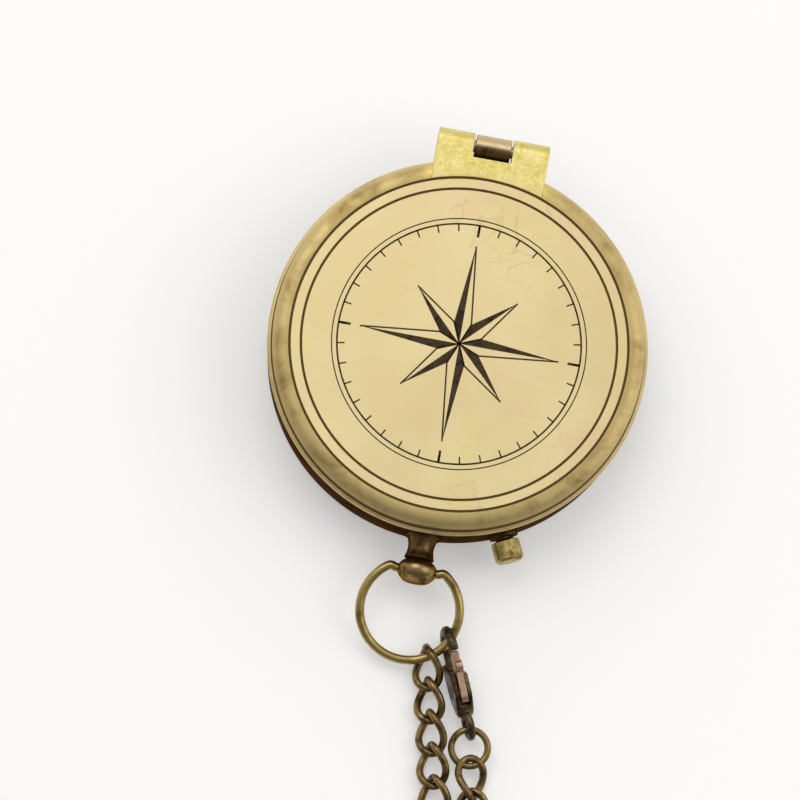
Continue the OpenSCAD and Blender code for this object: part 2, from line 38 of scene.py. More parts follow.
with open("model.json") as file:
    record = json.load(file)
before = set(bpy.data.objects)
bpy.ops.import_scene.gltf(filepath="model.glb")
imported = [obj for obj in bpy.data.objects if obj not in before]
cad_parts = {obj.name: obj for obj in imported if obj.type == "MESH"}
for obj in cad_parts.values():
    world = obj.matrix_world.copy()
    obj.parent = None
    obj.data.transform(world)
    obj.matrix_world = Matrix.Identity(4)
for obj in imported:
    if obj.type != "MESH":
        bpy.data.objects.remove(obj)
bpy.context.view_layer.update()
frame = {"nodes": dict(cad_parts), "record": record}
nodes = frame["nodes"]
bodies_of = frame["record"]["behaviour"]["bodies"]

# Camera, placed from the lid's engraved circle, the hinge leaf, the ball and the button
CAMERA_AIM = Vector((-6.32, -8.78, 12.5)) * MM
CAMERA_TURN = Vector((0.1847, -0.0436, 0.1782))
CAMERA_AWAY = 1.0052
CAMERA_LENS = 346.8
FRAME_SIDE = 36

# Sizes of the turned pieces and of the dial's print, in millimetres
LID_LOW_Z = 9.2
LID_CEILING_Z = 11.3
LID_INSIDE_R = 23.2
LID_INSIDE_CORNER = 0.3
LID_WALL_R = 24.4
SHOULDER_R = 22.5
SHOULDER_ARC = 2.8
BEAD_R = 0.4
BEAD_TOP_Z = LID_LOW_Z + 2 * BEAD_R
LINE_DEPTH = 0.15
LINE_EDGE = 0.03
LINE_SLOPE = 0.05
LEAF_SEAM_R = 22.4
DIAL_VIEW_R = 18.9
STEM_SINK = 1.2
FLANGE_H = 0.4
FLANGE_R = 2.4
WAIST_END_R = 2.0
WAIST_HOLLOW = 0.3
BALL_ROUND_R = 1.45

# Sizes that the scene shares with the solids, in metres
TOP_Z = 12.5 * MM
CASE_INSIDE_R = 22.2 * MM
CASE_R = 24.2 * MM
CASE_GROWTH = 0.4 * MM
LINE_OUTER_R = 22.2 * MM
LINE_INNER_R = 20.7 * MM
LINE_W = 0.3 * MM
LEAF_HALF_W = 7.4 * MM
HINGE_Y = 26.8 * MM
DIAL_TOP_Z = 2.3 * MM
STEM_Z = 4.7 * MM
BALL_Y = -29.3 * MM
BALL_HALF_W = 2.6 * MM
BALL_HOLE_R = 0.65 * MM
BAIL_R = 6.55 * MM
BAIL_REACH = 5.25 * MM
BAIL_BEND_R = 0.75 * MM
BAIL_PIN_START = 0.3 * MM
BAIL_WIRE_R = 0.6 * MM
BAIL_CLEAR = 0.1 * MM
BAIL_DROOP = math.radians(14)

# A link's wire, and the links' rolls in degrees at some places along the chain
LINK_HALF_LEN = 2.75 * MM
LINK_HALF_W = 1.85 * MM
LINK_WIRE_R = 0.5 * MM
LINK_TWIST = math.radians(-46)
LINK_STEPS = 48
LINK_ROLLS = ((0, 44), (2, 40), (5, 20), (6, 20), (11, 0), (31, 0), (32, -3), (33, 10), (35, 32))
LINK_FLOOR_GAP = 0.03 * MM

# Angles past which an edge stays sharp, on the solids' meshes and on the turned pieces
SHARP_EDGE = math.radians(32)
SHARP_TURNED_EDGE = math.radians(40)

# Own light of the floor where it is seen, so that it comes out nearly white
FLOOR_GLOW = 0.3

# Half the floor's side, and the place that the lamps look at, in metres
FLOOR_REACH = 4.0
LAMP_AIM = Vector((0, -0.02, 0))


def new_object(name, data):
    """Something put into the scene under a name."""
    made = bpy.data.objects.new(name, data)
    bpy.context.scene.collection.objects.link(made)
    return made


def make_camera():
    """A long lens, so that the lid keeps the photograph's near-parallel view."""
    camera = new_object("camera", bpy.data.cameras.new("camera"))
    turn = Quaternion(CAMERA_TURN.normalized(), CAMERA_TURN.length)
    camera.rotation_mode = "QUATERNION"
    camera.rotation_quaternion = turn
    camera.location = CAMERA_AIM + turn @ Vector((0, 0, CAMERA_AWAY))
    camera.data.lens = CAMERA_LENS
    camera.data.sensor_width = FRAME_SIDE
    camera.data.clip_start = 0.01
    camera.data.clip_end = 20
    bpy.context.scene.camera = camera


make_camera()


# Shader building: a node is added with its inputs, each a value or another node's socket
def feed(tree, plug, value):
    """Links another node's socket to a plug, or gives the plug a fixed value."""
    if isinstance(value, bpy.types.NodeSocket):
        tree.links.new(value, plug)
    else:
        plug.default_value = value


def add(tree, kind, output=0, **given):
    """Adds a node, sets its properties and inputs, and returns one of its outputs."""
    made = tree.nodes.new(kind)
    inputs = given.pop("inputs", {})
    for name, value in given.items():
        setattr(made, name, value)
    for key, value in inputs.items():
        feed(tree, made.inputs[key], value)
    return made.outputs[output]


def calc(tree, operation, *values, clamp=False):
    """One step of arithmetic."""
    return add(tree, "ShaderNodeMath", operation=operation, use_clamp=clamp, inputs=dict(enumerate(values)))


def blend_colour(tree, factor, under, over):
    """The colour under where the factor is 0, the one over it where the factor is 1."""
    return add(tree, "ShaderNodeMix", 2, data_type="RGBA", inputs={0: factor, 6: under, 7: over})


def step_up(tree, value, low, high):
    """0 below low, 1 above high, smooth between."""
    return add(tree, "ShaderNodeMapRange", interpolation_type="SMOOTHSTEP",
               inputs={0: value, 1: low, 2: high})


def step_down(tree, value, low, high):
    """1 below low, 0 above high, smooth between."""
    return calc(tree, "SUBTRACT", 1.0, step_up(tree, value, low, high))


def ramp(tree, value, low, high, out_low, out_high):
    """Linear from out_low at low to out_high at high, held beyond them."""
    return add(tree, "ShaderNodeMapRange", inputs={0: value, 1: low, 2: high, 3: out_low, 4: out_high})


def axes_of(tree, place):
    """The three coordinates of a place."""
    return add(tree, "ShaderNodeSeparateXYZ", inputs={0: place}).node.outputs


def noise(tree, place, scale, detail=4.0, roughness=0.55, distortion=0.0):
    """Noise whose scale is given in waves to a metre."""
    return add(tree, "ShaderNodeTexNoise", inputs={
        "Vector": place, "Scale": scale, "Detail": detail,
        "Roughness": roughness, "Distortion": distortion})


def rgb(red, green, blue):
    """A colour from its sRGB numbers of 0 to 255, as Blender's linear one."""
    def linear(value):
        value /= 255
        return value / 12.92 if value <= 0.04045 else ((value + 0.055) / 1.055) ** 2.4
    return (linear(red), linear(green), linear(blue), 1.0)


def new_group(name, sockets_in, sockets_out, kind="ShaderNodeTree"):
    """A node group with named inputs (with their defaults) and outputs."""
    group = bpy.data.node_groups.new(name, kind)
    for label, socket, default in sockets_in:
        plug = group.interface.new_socket(label, in_out="INPUT", socket_type=socket)
        if default is not None:
            plug.default_value = default
    for label, socket in sockets_out:
        group.interface.new_socket(label, in_out="OUTPUT", socket_type=socket)
    return group, group.nodes.new("NodeGroupInput").outputs, group.nodes.new("NodeGroupOutput").inputs


def build_patina():
    """Brass that has darkened in patches and crevices, with a fine grain."""
    tree, given, out = new_group("brass_patina", [
        ("Place", "NodeSocketVector", None), ("Bright", "NodeSocketColor", rgb(200, 180, 120)),
        ("Dark", "NodeSocketColor", rgb(80, 62, 34)), ("Patch Scale", "NodeSocketFloat", 300.0),
        ("Patch Low", "NodeSocketFloat", 0.45), ("Patch High", "NodeSocketFloat", 0.7),
        ("Grain Scale", "NodeSocketFloat", 4000.0), ("Grain", "NodeSocketFloat", 0.15),
        ("Crevice Reach", "NodeSocketFloat", 0.8 * MM), ("Crevice", "NodeSocketFloat", 0.7),
        ("Smooth", "NodeSocketFloat", 0.28), ("Rough", "NodeSocketFloat", 0.55),
    ], [("Color", "NodeSocketColor"), ("Roughness", "NodeSocketFloat"), ("Height", "NodeSocketFloat")])
    patches = noise(tree, given["Place"], given["Patch Scale"], 6.0, 0.6, 0.4)
    patch = step_up(tree, patches, given["Patch Low"], given["Patch High"])
    grain = noise(tree, given["Place"], given["Grain Scale"], 3.0, 0.7)
    shade = calc(tree, "SUBTRACT", grain, 0.5)
    shade = calc(tree, "MULTIPLY", shade, given["Grain"])
    open_air = add(tree, "ShaderNodeAmbientOcclusion", 1, samples=8,
                   inputs={"Distance": given["Crevice Reach"]})
    hollow = calc(tree, "SUBTRACT", 1.0, open_air)
    hollow = calc(tree, "MULTIPLY", hollow, given["Crevice"], clamp=True)
    dirt = calc(tree, "MAXIMUM", patch, hollow)
    dirt = calc(tree, "ADD", dirt, shade, clamp=True)
    colour = blend_colour(tree, dirt, given["Bright"], given["Dark"])
    tree.links.new(colour, out["Color"])
    spread = calc(tree, "SUBTRACT", given["Rough"], given["Smooth"])
    rough = calc(tree, "MULTIPLY_ADD", dirt, spread, given["Smooth"])
    tree.links.new(rough, out["Roughness"])
    tree.links.new(calc(tree, "MULTIPLY_ADD", patches, 0.4, grain), out["Height"])
    return tree


def build_scratches():
    """Fine straight scratches in three directions, as a mask."""
    tree, given, out = new_group("fine_scratches", [
        ("Place", "NodeSocketVector", None), ("Scale", "NodeSocketFloat", 90.0),
        ("Amount", "NodeSocketFloat", 1.0),
    ], [("Mask", "NodeSocketFloat")])
    total = None
    for turn, narrow in ((0.3, 30.0), (1.25, 24.0), (2.4, 36.0)):
        laid = add(tree, "ShaderNodeMapping", inputs={
            "Vector": given["Place"], "Rotation": (0, 0, turn), "Scale": (1.0, narrow, 1.0)})
        lines = noise(tree, laid, given["Scale"], 2.0, 0.5, 0.15)
        line = step_up(tree, lines, 0.66, 0.74)
        breaks = step_up(tree, noise(tree, given["Place"], 170.0 + 60 * turn, 2.0), 0.45, 0.62)
        line = calc(tree, "MULTIPLY", line, breaks)
        total = line if total is None else calc(tree, "MAXIMUM", total, line)
    tree.links.new(calc(tree, "MULTIPLY", total, given["Amount"]), out["Mask"])
    return tree


PATINA = build_patina()
SCRATCHES = build_scratches()


def use_group(tree, group, **inputs):
    """Puts a shader group into a tree and returns its outputs."""
    made = tree.nodes.new("ShaderNodeGroup")
    made.node_tree = group
    for label, value in inputs.items():
        feed(tree, made.inputs[label.replace("_", " ")], value)
    return made.outputs


def start_material(name):
    """A material with its tree, its Principled shader and the piece's own coordinates."""
    material = bpy.data.materials.new(name)
    material.use_nodes = True
    tree = material.node_tree
    shader = tree.nodes["Principled BSDF"]
    place = tree.nodes.new("ShaderNodeTexCoord").outputs["Object"]
    return material, tree, shader, place


def set_bump(tree, shader, height, strength, distance):
    """Roughens the surface by a height, at a strength and over a distance in metres."""
    bump = add(tree, "ShaderNodeBump", inputs={"Height": height, "Strength": strength, "Distance": distance})
    tree.links.new(bump, shader.inputs["Normal"])


def aged_brass(name, bright, dark, bump=0.25, metallic=1.0, split=None, edge=None, **inputs):
    """Metal with the shared patina. The split is another colour past a line across Y, given as its
    start, end, strength and colour; on some pieces it is real paint, on others painted light or shade.
    The edge is the tint of what is seen at a flat angle, and on some pieces a painted shade of their
    reflections."""
    material, tree, shader, place = start_material(name)
    patina = use_group(tree, PATINA, Place=place, Bright=bright, Dark=dark, **inputs)
    colour = patina["Color"]
    if split:
        start, end, strength, other = split
        past = calc(tree, "MULTIPLY", step_up(tree, axes_of(tree, place)[1], start, end), strength)
        colour = blend_colour(tree, past, colour, other)
    tree.links.new(colour, shader.inputs["Base Color"])
    tree.links.new(patina["Roughness"], shader.inputs["Roughness"])
    shader.inputs["Metallic"].default_value = metallic
    if edge:
        shader.inputs["Specular Tint"].default_value = edge
    set_bump(tree, shader, patina["Height"], bump, 0.04 * MM)
    return material


def radius_of(tree, place):
    """Distance of the shaded point from the compass's middle axis."""
    flat = add(tree, "ShaderNodeVectorMath", operation="MULTIPLY", inputs={0: place, 1: (1, 1, 0)})
    return add(tree, "ShaderNodeVectorMath", 1, operation="LENGTH", inputs={0: flat})


def lid_brass():
    """Pale brushed disc, darker and grainier rim with a painted highlight at its outer edge and painted shade
    in its groove, dark engraved lines, stains and small pits.
    """
    material, tree, shader, place = start_material("lid_brass")
    radius = radius_of(tree, place)
    aside, back, height = axes_of(tree, place)
    cloud = noise(tree, place, 60.0, 3.0)
    disc = blend_colour(tree, step_up(tree, cloud, 0.35, 0.65), rgb(214, 195, 146), rgb(222, 205, 156))
    blush = step_up(tree, noise(tree, place, 42.0, 4.0, 0.6, 0.5), 0.5, 0.68)
    disc = blend_colour(tree, calc(tree, "MULTIPLY", blush, 0.5), disc, rgb(216, 186, 148))
    tint = step_up(tree, noise(tree, place, 75.0, 2.0, 0.5, 1.0), 0.54, 0.7)
    disc = blend_colour(tree, calc(tree, "MULTIPLY", tint, 0.45), disc, rgb(214, 203, 134))
    stain_line = noise(tree, place, 130.0, 3.0, 0.5, 1.2)
    stain = calc(tree, "ABSOLUTE", calc(tree, "SUBTRACT", stain_line, 0.5))
    stain = step_down(tree, stain, 0.004, 0.02)
    where = step_up(tree, noise(tree, place, 55.0, 1.0), 0.56, 0.7)
    stain = calc(tree, "MULTIPLY", calc(tree, "MULTIPLY", stain, where), 0.4)
    disc = blend_colour(tree, stain, disc, rgb(184, 146, 112))
    scratch = use_group(tree, SCRATCHES, Place=place, Scale=95.0, Amount=0.35)["Mask"]
    disc = blend_colour(tree, scratch, disc, rgb(196, 172, 112))
    pits = add(tree, "ShaderNodeTexVoronoi", inputs={"Vector": place, "Scale": 330.0})
    chosen = step_up(tree, noise(tree, place, 240.0, 1.0), 0.62, 0.68)
    pit = calc(tree, "MULTIPLY", step_down(tree, pits, 0.03, 0.06), chosen)
    disc = blend_colour(tree, pit, disc, rgb(92, 70, 40))
    rim = use_group(tree, PATINA, Place=place, Bright=rgb(209, 186, 127), Dark=rgb(146, 120, 70),
                    Patch_Scale=190.0, Patch_Low=0.42, Patch_High=0.78, Grain_Scale=5200.0, Grain=0.5,
                    Crevice_Reach=0.6 * MM, Crevice=0.9, Smooth=0.34, Rough=0.46)
    near_leaf = calc(tree, "MULTIPLY", step_up(tree, back, 18.5 * MM, 22.5 * MM),
                     step_down(tree, calc(tree, "ABSOLUTE", aside), 7.2 * MM, 9.8 * MM))
    rim_colour = blend_colour(tree, near_leaf, rim["Color"], rgb(232, 214, 124))
    foot = step_down(tree, radius, SHOULDER_R * MM, (SHOULDER_R + 0.9) * MM)
    rim_colour = blend_colour(tree, calc(tree, "MULTIPLY", foot, 0.5), rim_colour, rgb(176, 156, 108))
    # Painted highlight: a paler band all round the rim's outer edge, standing for the light that the rounded
    # shoulder catches.
    worn = step_up(tree, radius, (LID_WALL_R - 0.7) * MM, (LID_WALL_R - 0.1) * MM)
    rim_colour = blend_colour(tree, calc(tree, "MULTIPLY", worn, 0.45), rim_colour, rgb(226, 206, 150))
    # Painted shade: the low wall just above the bead is darkened, standing for the shadow in the narrow
    # groove there.
    low_wall = step_down(tree, height, TOP_Z - 1.35 * MM, TOP_Z - 0.85 * MM)
    seat = step_down(tree, radius, (LID_WALL_R + 0.05) * MM, (LID_WALL_R + 0.2) * MM)
    above = step_up(tree, height, (BEAD_TOP_Z - 0.1) * MM, BEAD_TOP_Z * MM)
    groove = calc(tree, "MULTIPLY", calc(tree, "MULTIPLY", low_wall, seat), above)
    rim_colour = blend_colour(tree, groove, rim_colour, rgb(130, 98, 54))
    outside = step_up(tree, radius, LINE_OUTER_R, LINE_OUTER_R + 0.2 * MM)
    colour = blend_colour(tree, outside, disc, rim_colour)
    cuts = [step_down(tree, calc(tree, "ABSOLUTE", calc(tree, "SUBTRACT", radius, line_r)),
                      0.11 * MM, 0.17 * MM) for line_r in (LINE_OUTER_R, LINE_INNER_R)]
    on_top = step_up(tree, height, TOP_Z - 0.5 * MM, TOP_Z - 0.3 * MM)
    line = calc(tree, "MULTIPLY", calc(tree, "MAXIMUM", *cuts), on_top)
    colour = blend_colour(tree, line, colour, rgb(116, 95, 52))
    tree.links.new(colour, shader.inputs["Base Color"])
    shader.inputs["Metallic"].default_value = 1.0
    rough = ramp(tree, cloud, 0.3, 0.7, 0.36, 0.44)
    for mask, more in ((outside, 0.1), (scratch, -0.2), (line, 0.35)):
        rough = calc(tree, "MULTIPLY_ADD", mask, more, rough)
    tree.links.new(rough, shader.inputs["Roughness"])
    relief = calc(tree, "MULTIPLY_ADD", calc(tree, "MAXIMUM", scratch, pit), -0.6,
                  calc(tree, "MULTIPLY", rim["Height"], 0.35))
    set_bump(tree, shader, relief, 0.22, 0.03 * MM)
    return material


def leaf_brass():
    """Saturated yellow satin brass with fine speckle, paler towards the lid, with painted shade on its lower
    sides.
    """
    material, tree, shader, place = start_material("leaf_brass")
    _, back, height = axes_of(tree, place)
    coarse = noise(tree, place, 700.0, 5.0, 0.7)
    fine = noise(tree, place, 2600.0, 3.0, 0.7)
    speckle = calc(tree, "MULTIPLY_ADD", fine, 0.5, calc(tree, "MULTIPLY", coarse, 0.5))
    colour = blend_colour(tree, step_up(tree, speckle, 0.36, 0.66), rgb(234, 220, 152), rgb(212, 193, 100))
    dull = step_up(tree, coarse, 0.62, 0.76)
    colour = blend_colour(tree, calc(tree, "MULTIPLY", dull, 0.5), colour, rgb(190, 176, 82))
    to_lid = step_down(tree, back, 20.8 * MM, 24.2 * MM)
    colour = blend_colour(tree, calc(tree, "MULTIPLY", to_lid, 0.75), colour, rgb(214, 195, 134))
    # Painted shade: the leaf is darkened below its top, standing for the shadow on its sides and under it.
    low = step_down(tree, height, 9.4 * MM, 11.4 * MM)
    colour = blend_colour(tree, calc(tree, "MULTIPLY", low, 0.55), colour, rgb(120, 98, 48))
    tree.links.new(colour, shader.inputs["Base Color"])
    shader.inputs["Metallic"].default_value = 1.0
    tree.links.new(ramp(tree, speckle, 0.3, 0.7, 0.4, 0.52), shader.inputs["Roughness"])
    set_bump(tree, shader, speckle, 0.35, 0.03 * MM)
    return material


def enamel(name, colour, freckle):
    """Matt enamel or print, slightly mottled with age."""
    material, tree, shader, place = start_material(name)
    cloud = step_up(tree, noise(tree, place, 240.0, 6.0, 0.65), 0.4, 0.75)
    tree.links.new(blend_colour(tree, calc(tree, "MULTIPLY", cloud, 0.5), colour, freckle),
                   shader.inputs["Base Color"])
    fine = noise(tree, place, 3000.0, 2.0)
    tree.links.new(ramp(tree, fine, 0.3, 0.7, 0.42, 0.56), shader.inputs["Roughness"])
    set_bump(tree, shader, fine, 0.08, 0.02 * MM)
    return material


def clear_glass():
    """Clear crystal with faint wipe marks."""
    material, tree, shader, place = start_material("clear_glass")
    shader.inputs["Base Color"].default_value = (0.97, 0.99, 0.99, 1)
    shader.inputs["Transmission Weight"].default_value = 1.0
    shader.inputs["IOR"].default_value = 1.46
    smear = noise(tree, place, 180.0, 3.0, 0.5, 0.8)
    tree.links.new(ramp(tree, smear, 0.45, 0.75, 0.01, 0.05), shader.inputs["Roughness"])
    return material


LID = lid_brass()
LEAF = leaf_brass()
# Painted shade: the case's edge tint darkens its reflections at a flat angle, so that its wall looks shaded.
CASE = aged_brass("case_patina", rgb(120, 97, 56), rgb(62, 45, 24), Patch_Scale=330.0, Patch_Low=0.3,
                  Patch_High=0.85, Grain=0.4, Crevice_Reach=1.2 * MM, Smooth=0.34, Rough=0.54,
                  edge=rgb(128, 92, 52))
# Painted shade: the stem is darkened on its flange and neck towards the case, and its edge tint darkens its
# reflections at a flat angle.
STEM = aged_brass("stem_brass", rgb(156, 130, 88), rgb(56, 38, 20), Patch_Scale=520.0, Patch_Low=0.44,
                  Patch_High=0.72, Grain=0.3, Crevice_Reach=1.4 * MM, Crevice=0.9, Smooth=0.26, Rough=0.5,
                  split=(BALL_Y + 1.5 * MM, BALL_Y + 2.1 * MM, 0.7, rgb(66, 42, 22)), edge=rgb(152, 130, 108))
# Painted light and shade: the knuckle is dark brown on its half towards the lid, standing for the shadow in
# the gap there, and pale tan on its far half, where it is lit.
KNUCKLE = aged_brass("knuckle_brass", rgb(122, 98, 66), rgb(60, 44, 26), Patch_Scale=480.0, Patch_Low=0.46,
                     Patch_High=0.74, Grain=0.4, Crevice_Reach=1.1 * MM, Crevice=0.95, Smooth=0.34, Rough=0.5,
                     split=(HINGE_Y - 0.4 * MM, HINGE_Y + 0.3 * MM, 0.85, rgb(222, 196, 154)))
BUTTON = aged_brass("button_brass", rgb(188, 166, 104), rgb(92, 70, 38), Patch_Scale=620.0, Patch_Low=0.46,
                    Patch_High=0.78, Grain=0.3, Crevice_Reach=0.8 * MM, Smooth=0.26, Rough=0.46)
RING = aged_brass("ring_brass", rgb(174, 153, 94), rgb(82, 62, 30), Patch_Scale=420.0, Patch_Low=0.44,
                  Patch_High=0.82, Grain=0.25, Crevice_Reach=1.4 * MM, Crevice=0.85, Smooth=0.27, Rough=0.44)
CHAIN = aged_brass("chain_brass", rgb(146, 122, 78), rgb(50, 35, 18), Patch_Scale=560.0, Patch_Low=0.36,
                   Patch_High=0.76, Grain=0.35, Crevice_Reach=1.2 * MM, Crevice=0.85, Smooth=0.27, Rough=0.48)
CLASP = aged_brass("clasp_bronze", rgb(110, 94, 68), rgb(40, 30, 18), Patch_Scale=420.0, Patch_Low=0.38,
                   Patch_High=0.7, Grain=0.4, Crevice_Reach=1.2 * MM, Crevice=0.8, Smooth=0.3, Rough=0.52)
LEVER = aged_brass("lever_bronze", rgb(196, 160, 136), rgb(112, 82, 58), Patch_Scale=620.0, Patch_Low=0.46,
                   Patch_High=0.8, Grain=0.3, Crevice_Reach=0.8 * MM, Smooth=0.26, Rough=0.44)
TRIM = aged_brass("trim_brass", rgb(220, 196, 126), rgb(128, 100, 52), Patch_Scale=260.0, Patch_Low=0.5,
                  Patch_High=0.85, Grain=0.2, Crevice_Reach=0.8 * MM, Smooth=0.24, Rough=0.4)
STEEL = aged_brass("bright_steel", rgb(196, 196, 192), rgb(96, 92, 86), Patch_Scale=500.0, Patch_Low=0.5,
                   Patch_High=0.85, Grain=0.2, Crevice_Reach=0.6 * MM, Smooth=0.2, Rough=0.36)
BLUED = aged_brass("blued_steel", rgb(48, 66, 116), rgb(22, 28, 48), Patch_Scale=420.0, Patch_Low=0.5,
                   Patch_High=0.9, Grain=0.15, Crevice_Reach=0.5 * MM, Smooth=0.18, Rough=0.32, metallic=0.8,
                   split=(-0.01 * MM, 0.01 * MM, 0.96, rgb(176, 38, 28)))
ENGRAVING = aged_brass("engraving", rgb(66, 50, 26), rgb(34, 24, 12), metallic=0.6, Patch_Scale=900.0,
                       Grain=0.5, Smooth=0.5, Rough=0.7)
DIAL = enamel("dial_enamel", rgb(238, 233, 216), rgb(222, 210, 180))
PRINT = enamel("dial_print", rgb(30, 28, 26), rgb(48, 42, 36))
RED_PRINT = enamel("north_print", rgb(166, 36, 26), rgb(140, 30, 22))
GLASS = clear_glass()


# Meshes
def as_mesh(bm, name):
    """The finished mesh of what was built up, under a name."""
    mesh = bpy.data.meshes.new(name)
    bm.to_mesh(mesh)
    bm.free()
    return mesh


def closed_mesh(bm, name):
    """The finished mesh of closed bodies, with every face turned outwards."""
    bmesh.ops.recalc_face_normals(bm, faces=bm.faces)
    return as_mesh(bm, name)


def place_piece(name, mesh, body, material, stands_for=(), smooth=True):
    """Puts a finished mesh on its body, with its finish and the solids that it stands for."""
    piece = new_object(name, mesh)
    mesh.materials.clear()
    mesh.materials.append(material)
    if smooth:
        mesh.polygons.foreach_set("use_smooth", [True] * len(mesh.polygons))
    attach(piece, body)
    if stands_for:
        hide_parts(*stands_for)
    return piece


def body_with(node):
    """The body that carries a solid."""
    return next(body for body, members in bodies_of.items() if node in members)


def merged_copy(node):
    """A solid's mesh with its corners joined and its flat faces made whole."""
    bm = bmesh.new()
    bm.from_mesh(nodes[node].data)
    bmesh.ops.remove_doubles(bm, verts=bm.verts, dist=1e-7)
    bmesh.ops.dissolve_limit(bm, angle_limit=math.radians(0.4), verts=bm.verts, edges=bm.edges)
    return as_mesh(bm, node)


def finish_solid(node, material, edge=0):
    """The solid with its curved faces smooth and its sharp edges broken by a width in millimetres."""
    piece = place_piece(node + "_finished", merged_copy(node), body_with(node), material, [node])
    piece.data.set_sharp_from_angle(angle=SHARP_EDGE)
    if edge:
        bevel = piece.modifiers.new("broken_edges", "BEVEL")
        bevel.width = edge * MM
        bevel.segments = 2
        bevel.limit_method = "ANGLE"
        bevel.angle_limit = SHARP_EDGE
        bevel.use_clamp_overlap = True
        bevel.harden_normals = True
        bevel.miter_outer = "MITER_ARC"
    return piece


def tube_mesh(name, path, radius, sides):
    """Round wire with flat ends along a path of points."""
    points = [Vector(p) for p in path]
    bm = bmesh.new()
    rings = []
    side = None
    for before, point, after in zip(points[:1] + points, points, points[1:] + points[-1:]):
        ahead = (after - before).normalized()
        if side is None:
            side = ahead.orthogonal().normalized()
        side = (side - ahead * side.dot(ahead)).normalized()
        up = ahead.cross(side)
        rings.append([bm.verts.new(point + radius * (math.cos(a) * side + math.sin(a) * up))
                      for a in [math.tau * k / sides for k in range(sides)]])
    for here, there in zip(rings, rings[1:]):
        for k in range(sides):
            n = (k + 1) % sides
            bm.faces.new((here[k], here[n], there[n], there[k]))
    bm.faces.new(list(reversed(rings[0])))
    bm.faces.new(rings[-1])
    return closed_mesh(bm, name)


def prism_mesh(name, outlines, low, high):
    """Closed flat plates between two heights, one for each outline."""
    bm = bmesh.new()
    for outline in outlines:
        base = [bm.verts.new((x, y, low)) for x, y in outline]
        top = [bm.verts.new((x, y, high)) for x, y in outline]
        bm.faces.new(list(reversed(base)))
        bm.faces.new(top)
        for k in range(len(outline)):
            n = (k + 1) % len(outline)
            bm.faces.new((base[k], base[n], top[n], top[k]))
    return closed_mesh(bm, name)


def polar(radius, angle):
    """A point at a radius in millimetres and an angle in degrees, in metres."""
    return (radius * MM * math.cos(math.radians(angle)), radius * MM * math.sin(math.radians(angle)))


def stroke(start, end, width):
    """Outline of a straight stroke."""
    start, end = Vector(start), Vector(end)
    off = (end - start).orthogonal().normalized() * width * MM / 2
    return [tuple(start + off), tuple(start - off), tuple(end - off), tuple(end + off)]


def rose_outlines(reach, short_reach, waist, line):
    """Eight-pointed wind rose: one half of every point filled, the other drawn as an outline."""
    shapes = []
    for i in range(8):
        angle = 45 * i
        tip = polar(reach if i % 2 == 0 else short_reach, angle)
        left, right = polar(waist, angle + 22.5), polar(waist, angle - 22.5)
        shapes.append([(0, 0), tip, left])
        shapes.append(stroke(tip, right, line))
        shapes.append(stroke(right, (0, 0), line))
    return shapes


def lathe_mesh(name, profile, steps=240):
    """Closed body turned round Z from a closed profile of (radius, height), in millimetres."""
    bm = bmesh.new()
    rings = []
    for k in range(steps):
        a = math.tau * k / steps
        rings.append([bm.verts.new((r * MM * math.cos(a), r * MM * math.sin(a), z * MM)) for r, z in profile])
    count = len(profile)
    on_axis = profile[0][0] == profile[-1][0] == 0
    for here, there in zip(rings, rings[1:] + rings[:1]):
        for j in range(count - 1 if on_axis else count):
            n = (j + 1) % count
            bm.faces.new((here[j], there[j], there[n], here[n]))
    bmesh.ops.remove_doubles(bm, verts=bm.verts, dist=1e-8)
    bmesh.ops.dissolve_degenerate(bm, dist=1e-9, edges=bm.edges)
    return closed_mesh(bm, name)


def line_rings(rings, low, high):
    """Thin rings of square section between two heights, each given by its radius and width."""
    meshes = []
    for radius, width in rings:
        inner, outer = radius - width / 2, radius + width / 2
        section = [(inner, low / MM), (outer, low / MM), (outer, high / MM), (inner, high / MM)]
        meshes.append(lathe_mesh("ring", section, 192))
    return meshes


def bake_nodes(piece):
    """Turns the result of a piece's modifiers into a plain mesh."""
    seen = piece.evaluated_get(bpy.context.evaluated_depsgraph_get())
    mesh = bpy.data.meshes.new_from_object(seen)
    bpy.data.objects.remove(piece)
    return mesh


def new_geometry(name, sockets):
    """A geometry group that takes a mesh, its own named inputs and a finish, and gives a mesh."""
    given = [("Geometry", "NodeSocketGeometry", None), *sockets, ("Finish", "NodeSocketMaterial", None)]
    return new_group(name, given, [("Geometry", "NodeSocketGeometry")], "GeometryNodeTree")


def put_on_points(tree, points, copied, turn, finish):
    """A copy on every point, all made into one mesh with its finish."""
    placed = add(tree, "GeometryNodeInstanceOnPoints", inputs={
        "Points": points, "Instance": copied, "Rotation": turn})
    solid = add(tree, "GeometryNodeRealizeInstances", inputs={0: placed})
    return add(tree, "GeometryNodeSetMaterial", inputs={"Geometry": solid, "Material": finish})


